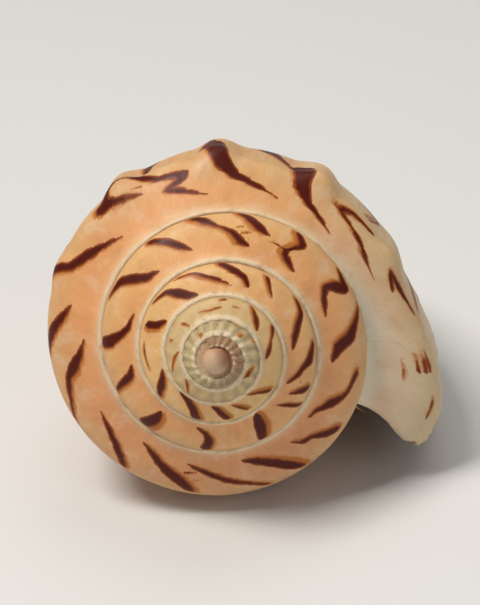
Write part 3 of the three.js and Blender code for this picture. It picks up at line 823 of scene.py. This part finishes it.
class Nodes:
    """Short calls for building one material's nodes."""

    def __init__(self, name):
        self.material = bpy.data.materials.new(name)
        self.material.use_nodes = True
        self.tree = self.material.node_tree
        self.shader = self.tree.nodes["Principled BSDF"]

    def put(self, socket, value):
        if isinstance(value, bpy.types.NodeSocket):
            self.tree.links.new(value, socket)
        else:
            socket.default_value = value

    def math(self, operation, a, b=0.0, c=0.0):
        node = self.tree.nodes.new("ShaderNodeMath")
        node.operation = operation
        for socket, value in zip(node.inputs, (a, b, c)):
            self.put(socket, value)
        return node.outputs[0]

    def add(self, a, b):
        return self.math("ADD", a, b)

    def times(self, a, b):
        return self.math("MULTIPLY", a, b)

    def ramp(self, value, low, high, start=0.0, end=1.0):
        node = self.tree.nodes.new("ShaderNodeMapRange")
        node.interpolation_type = "SMOOTHSTEP"
        numbers = {"Value": value, "From Min": low, "From Max": high, "To Min": start, "To Max": end}
        for key, number in numbers.items():
            self.put(node.inputs[key], number)
        return node.outputs[0]

    def mix(self, share, a, b, blend="MIX"):
        node = self.tree.nodes.new("ShaderNodeMix")
        node.data_type, node.blend_type = "RGBA", blend
        self.put(node.inputs[0], share)
        for socket, value in zip(node.inputs[6:8], (a, b)):
            self.put(socket, value if isinstance(value, bpy.types.NodeSocket) else (*value, 1))
        return node.outputs[2]

    def attribute(self, name, output):
        node = self.tree.nodes.new("ShaderNodeAttribute")
        node.attribute_name = name
        return node.outputs[output]

    def scaled(self, vector, scale):
        node = self.tree.nodes.new("ShaderNodeVectorMath")
        node.operation = "MULTIPLY"
        self.put(node.inputs[0], vector)
        node.inputs[1].default_value = scale
        return node.outputs[0]

    def split(self, vector):
        node = self.tree.nodes.new("ShaderNodeSeparateXYZ")
        self.put(node.inputs[0], vector)
        return node.outputs

    def noise(self, vector, scale, detail=3.0, roughness=0.5):
        node = self.tree.nodes.new("ShaderNodeTexNoise")
        self.put(node.inputs["Vector"], vector)
        node.inputs["Scale"].default_value = scale
        node.inputs["Detail"].default_value = detail
        node.inputs["Roughness"].default_value = roughness
        return node.outputs["Fac"]

    def stroke(self, name, wobble, size):
        """Distance beyond the ragged edge of the nearest stroke, in terms of the whorl's size."""
        side, half, _ = self.split(self.attribute(name, "Vector"))
        gap = self.math("SUBTRACT", self.math("ABSOLUTE", side), half)
        return self.math("DIVIDE", self.add(gap, wobble), self.math("MAXIMUM", size, 0.2))

    def place(self):
        return self.tree.nodes.new("ShaderNodeTexCoord").outputs["Object"]

    def bump(self, height, strength, distance, normal=None):
        node = self.tree.nodes.new("ShaderNodeBump")
        node.inputs["Strength"].default_value = strength
        node.inputs["Distance"].default_value = distance
        self.put(node.inputs["Height"], height)
        if normal:
            self.put(node.inputs["Normal"], normal)
        return node.outputs[0]


# Colours of the shell's material, as linear red, green and blue
AMBER = (0.44, 0.13, 0.012)
BROWN = (0.24, 0.045, 0.006)
MAROON = (0.08, 0.006, 0.001)
RUST = (0.60, 0.22, 0.06)
ORANGE = (0.46, 0.145, 0.012)
CHALK = (0.82, 0.74, 0.58)
RIDGE = (0.76, 0.61, 0.41)
RIDGE_SHADE = (0.52, 0.38, 0.23)
# dark line along the suture: partly dirt, partly painted shade in the crease
SUTURE_DIRT_AND_SHADE = (0.07, 0.035, 0.018)
# painted shadow that the next whorl's ridge casts on the whorl before it
CREASE_PAINTED_SHADOW = (0.33, 0.22, 0.10)
CLOUD_TINT = (0.66, 0.27, 0.11)
LINE_TINT = (0.52, 0.24, 0.10)
FINE_TINT = (0.40, 0.2, 0.1)
GLOSS = 0.22  # specular level, where 0.5 would be a full glaze


def shell_ground(n, growth, lines, fine, clouds, specks, outside):
    """Ground colour with soft growth lines, the pale ridge, painted shadow under the next whorl's ridge, and
    a dark line at the suture that is partly dirt and partly painted shade.
    """
    colour = n.mix(n.times(n.ramp(clouds, 0.5, 0.75), 0.25), n.attribute("ground", "Color"), CLOUD_TINT)
    colour = n.mix(n.times(n.times(n.ramp(lines, 0.5, 0.75), 0.3), outside), colour, LINE_TINT)
    colour = n.mix(n.times(n.times(n.ramp(lines, 0.5, 0.3), 0.2), outside), colour, CHALK)
    colour = n.mix(n.times(n.times(n.ramp(fine, 0.5, 0.7), 0.12), outside), colour, FINE_TINT)
    colour = n.mix(n.times(n.ramp(specks, 0.62, 0.75), 0.1), colour, CHALK)

    outward, inward, share = n.split(n.attribute("suture", "Vector"))
    wobble = n.times(n.add(n.noise(n.scaled(growth, (75, 0.8, 0)), 1, 2), -0.5), 0.5)
    ridge = n.ramp(n.add(share, wobble), 1.6, 0.7)
    streaked = n.mix(n.ramp(lines, 0.45, 0.7), RIDGE, RIDGE_SHADE)
    colour = n.mix(n.times(ridge, 0.85), colour, streaked)
    # Painted shadow: the whorl darkens over its last 1.7 mm before the next suture, under the next whorl's
    # ridge
    colour = n.mix(n.times(n.ramp(inward, 1.7, 0.1), 0.6), colour, CREASE_PAINTED_SHADOW)
    # The dark line along the suture, on both sides of it: partly dirt in the crease, partly painted shade
    suture_dirt_and_shade = n.ramp(n.add(inward, n.times(wobble, 0.9)), 0.24, 0.04)
    edge = n.times(n.ramp(n.add(outward, n.times(wobble, 0.3)), 0.12, 0.0), n.ramp(inward, 2.9, 2.5, 1, 0))
    return n.mix(n.times(n.math("MAXIMUM", suture_dirt_and_shade, n.times(edge, 0.5)), 0.85), colour, SUTURE_DIRT_AND_SHADE)


def shell_flames(n, colour, fine, clouds, specks, place, size):
    """Flames over the ground: soft amber on one side, brown inside, maroon in the heart."""
    wobble = n.add(n.times(n.add(specks, -0.5), 0.9), n.times(n.add(fine, -0.5), 0.8))
    wobble = n.times(n.add(wobble, n.times(n.add(n.noise(place, 260, 2), -0.5), 1.2)), size)
    flame = n.stroke("flame_lines", n.times(wobble, 0.4), size)
    halo = n.stroke("halo_lines", n.times(wobble, 0.7), size)
    colour = n.mix(n.times(n.ramp(halo, 0.5, -0.15), 0.5), colour, RUST)
    colour = n.mix(n.times(n.ramp(halo, 0.15, -0.6), 0.85), colour, AMBER)
    colour = n.mix(n.ramp(flame, 0.12, -0.2), colour, n.mix(n.ramp(size, 0.38, 0.62), ORANGE, BROWN))
    dark = n.add(n.ramp(flame, -0.1, -0.75), n.times(n.add(clouds, -0.5), 0.6))
    return n.mix(n.times(n.ramp(dark, 0.1, 0.9), n.ramp(size, 0.3, 0.6, 0.35, 1)), colour, MAROON)


def shell_material():
    """Glossy shell: salmon ground with growth lines, and maroon flames with a soft amber edge."""
    n = Nodes("volute_shell")
    place = n.place()
    growth = n.attribute("growth", "Vector")
    size = n.attribute("whorl_size", "Fac")
    outside = n.ramp(size, 0.02, 0.1)
    lines = n.noise(n.scaled(growth, (46, 0.42, 0)), 1, 4, 0.6)
    fine = n.noise(n.scaled(growth, (330, 1.3, 0)), 1, 3, 0.6)
    clouds = n.noise(place, 130, 3)
    grain = n.noise(place, 1500, 3, 0.6)
    specks = n.noise(place, 620, 2)

    colour = shell_ground(n, growth, lines, fine, clouds, specks, outside)
    n.put(n.shader.inputs["Base Color"], shell_flames(n, colour, fine, clouds, specks, place, size))
    n.put(n.shader.inputs["Roughness"], n.add(n.times(grain, 0.14), n.ramp(fine, 0.3, 0.7, 0.3, 0.42)))
    n.shader.inputs["Specular IOR Level"].default_value = GLOSS
    relief_lines = n.times(n.add(n.times(lines, 0.6), n.times(fine, 0.5)), outside)
    rough = n.bump(n.add(grain, n.times(specks, 0.8)), 0.2, 0.00005)
    n.put(n.shader.inputs["Normal"], n.bump(relief_lines, 0.4, 0.00012, rough))
    return n.material


FLOOR_COLOURS = ((0.74, 0.73, 0.71), (0.77, 0.76, 0.74))
FLOOR_SIZE = 6.0  # metres


def floor_material():
    n = Nodes("floor")
    cloud = n.noise(n.place(), 3, 2)
    n.put(n.shader.inputs["Base Color"], n.mix(cloud, *FLOOR_COLOURS))
    n.shader.inputs["Roughness"].default_value = 0.75
    return n.material


def floor():
    half = FLOOR_SIZE / 2
    corners = [(-half, -half, 0), (half, -half, 0), (half, half, 0), (-half, half, 0)]
    mesh = bpy.data.meshes.new("floor")
    mesh.from_pydata(corners, [], [(0, 1, 2, 3)])
    mesh.materials.append(floor_material())
    ground = bpy.data.objects.new("floor", mesh)
    bpy.context.scene.collection.objects.link(ground)


# Each light: name, place and size in metres, power in watts, and colour
LIGHTS = [
    ("key", (-0.30, -0.16, 0.74), 0.3, 5.0, (1, 0.97, 0.92)),
    ("top", (0.15, 0.35, 0.8), 0.6, 1.5, (1, 0.99, 0.97)),
    ("fill", (0.55, -0.6, 0.35), 0.5, 0.8, (0.97, 0.98, 1)),
]
LIGHT_TARGET = Vector((0, 0, 0.02))
WORLD_COLOUR = (0.88, 0.9, 0.93, 1)
WORLD_STRENGTH = 0.22


def lights():
    for name, at, size, power, colour in LIGHTS:
        lamp = bpy.data.lights.new(name, "AREA")
        lamp.size, lamp.energy, lamp.color = size, power, colour
        lamp_object = bpy.data.objects.new(name, lamp)
        lamp_object.location = at
        lamp_object.rotation_euler = (Vector(at) - LIGHT_TARGET).to_track_quat("Z", "Y").to_euler()
        bpy.context.scene.collection.objects.link(lamp_object)
    world = bpy.data.worlds.new("studio")
    world.use_nodes = True
    background = world.node_tree.nodes["Background"]
    background.inputs["Color"].default_value = WORLD_COLOUR
    background.inputs["Strength"].default_value = WORLD_STRENGTH
    bpy.context.scene.world = world


# The camera, found from the photograph: it looks along the shell's axis from the spire
CAMERA_TURN = (11.02, -2.51)  # degrees about X, then Y
CAMERA_OFFSET = (3.937, 9.841, 500)  # mm from the apex, along the camera's own axes
FOCAL_PIXELS = 3108.5
FRAME_WIDTH = 480
SENSOR_WIDTH = 36


def camera():
    about_x, about_y = (math.radians(angle) for angle in CAMERA_TURN)
    turn = np.array(Matrix.Rotation(about_y, 3, "Y") @ Matrix.Rotation(about_x, 3, "X"))
    axes = TO_REST @ turn.T
    view = bpy.data.cameras.new("camera")
    view.sensor_fit, view.sensor_width = "HORIZONTAL", SENSOR_WIDTH
    view.lens = FOCAL_PIXELS * SENSOR_WIDTH / FRAME_WIDTH
    view.clip_end = 20
    eye = bpy.data.objects.new("camera", view)
    eye.matrix_world = Matrix.LocRotScale(
        Vector((axes @ CAMERA_OFFSET + APEX_PLACE) * MM), Matrix(axes.tolist()), None)
    bpy.context.scene.collection.objects.link(eye)
    bpy.context.scene.camera = eye


# The shell is the whorls and the dome, less the hollow, and with the pillar put back inside
skin, skin_traits = whorls()
skin_points = positions(skin)
shell = joined(skin, [(dome(), "UNION"), (cavity(), "DIFFERENCE"), (pillar(), "UNION")])
shell.data.name = "shell_skin"
paint(shell.data)
settle(shell.data)
shell.data.materials.clear()
shell.data.materials.append(shell_material())
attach(shell, "root")
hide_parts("shell")

floor()
lights()
camera()
bpy.context.scene.view_settings.view_transform = "Standard"
